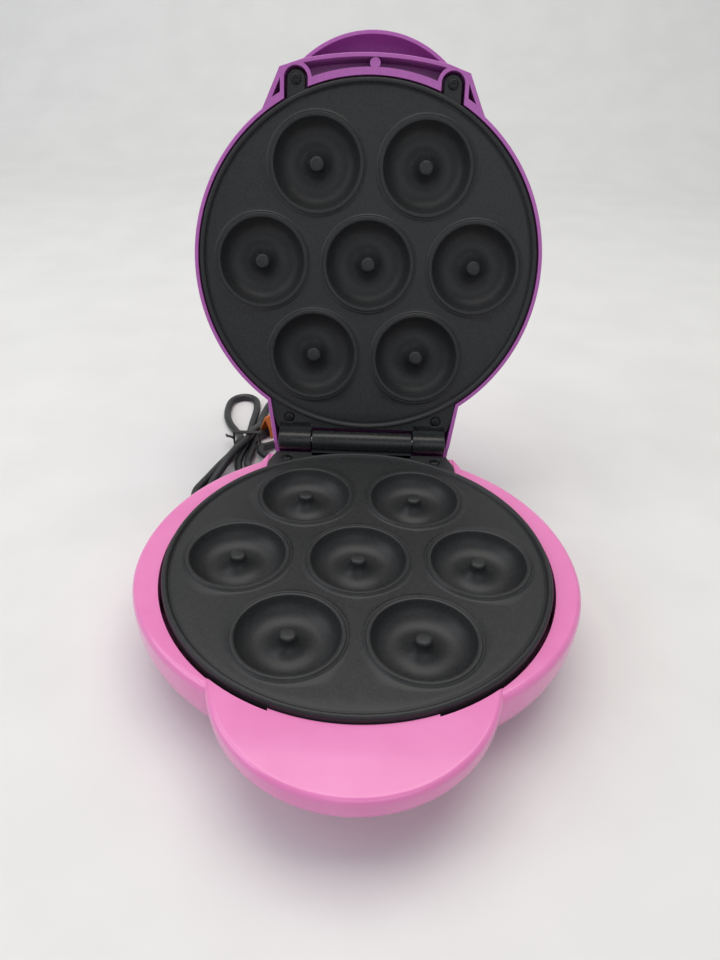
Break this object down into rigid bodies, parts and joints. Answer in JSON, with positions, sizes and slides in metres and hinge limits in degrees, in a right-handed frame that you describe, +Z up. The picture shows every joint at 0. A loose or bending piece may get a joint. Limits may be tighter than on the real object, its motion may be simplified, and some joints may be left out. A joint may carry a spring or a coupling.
{
  "type": "mini donut maker",
  "caption": "Hinged countertop baker with ring-shaped pockets in two facing non-stick plates, a round pink housing, a front handle lobe and a bundled mains lead.",
  "frame": {"origin": "on the surface it stands on, under the middle of the open appliance without its lead", "axes": "+Z up, +Y towards the hinge and the opened lid, -Y towards the handle"},
  "size_m": [0.218, 0.3658, 0.257],
  "materials": {
    "shell_pink": "gloss painted moulding, satin underneath",
    "shell_lid": "gloss pink outside, raw purple-pink plastic inside",
    "plate_nonstick": "cast and coated with black non-stick",
    "steel": "zinc-plated and drawn steel",
    "screw_black": "black-oxide pan-head screws",
    "heater_sheath": "heat-darkened sheath",
    "sheet_aluminium": "bright rolled sheet",
    "rubber_black": "moulded rubber",
    "cord_pvc": "soft vinyl jacket",
    "plastic_black": "moulded, fine texture",
    "terminal_cream": "moulded terminal strip",
    "lens_red": "clear-tinted lens",
    "lens_green": "clear-tinted lens",
    "lamp_glass": "neon bulb glass",
    "tag_orange": "folded coated card",
    "brass": "plated blade"
  },
  "bodies": {
    "base": {"lower_plate": "plate_nonstick", "lower_heating_element": "heater_sheath", "lower_reflector": "sheet_aluminium", "lower_reflector_screw": "steel", "lower_thermostat": "steel", "lower_plate_screw_rear_left": "screw_black", "lower_plate_screw_rear_right": "screw_black", "lower_plate_screw_front_left": "screw_black", "lower_plate_screw_front_right": "screw_black", "thermal_fuse": "steel", "base_shell": "shell_pink", "rubber_foot_front_left": "rubber_black", "rubber_foot_front_right": "rubber_black", "rubber_foot_rear_left": "rubber_black", "rubber_foot_rear_right": "rubber_black", "hinge_pin": "steel", "terminal_block": "terminal_cream", "cord_clamp": "plastic_black", "cord_clamp_screw_left": "steel", "cord_clamp_screw_right": "steel", "strain_relief": "cord_pvc", "power_cord_lead": "cord_pvc", "power_cord_first_loop": "cord_pvc", "power_cord_second_loop": "cord_pvc", "power_cord_plug_end": "cord_pvc", "power_cord_hank": "cord_pvc", "cord_tie": "plastic_black", "cord_tag": "tag_orange", "power_plug": "plastic_black", "plug_blade_left": "brass", "plug_blade_right": "brass"},
    "lid": {"upper_plate": "plate_nonstick", "upper_heating_element": "heater_sheath", "upper_reflector": "sheet_aluminium", "upper_reflector_screw": "steel", "upper_thermostat": "steel", "upper_plate_screw_rear_left": "screw_black", "upper_plate_screw_rear_right": "screw_black", "upper_plate_screw_front_left": "screw_black", "upper_plate_screw_front_right": "screw_black", "lid_shell": "shell_lid", "power_lamp_lens": "lens_red", "ready_lamp_lens": "lens_green", "power_lamp": "lamp_glass", "ready_lamp": "lamp_glass", "lamp_holder": "plastic_black"}
  },
  "joints": [
    {"name": "lid_hinge", "type": "hinge", "parent": "base", "child": "lid", "pos_m": [0, 0.0718, 0.049], "axis": [1, 0, 0], "range_deg": [0, 107.3]}
  ]
}
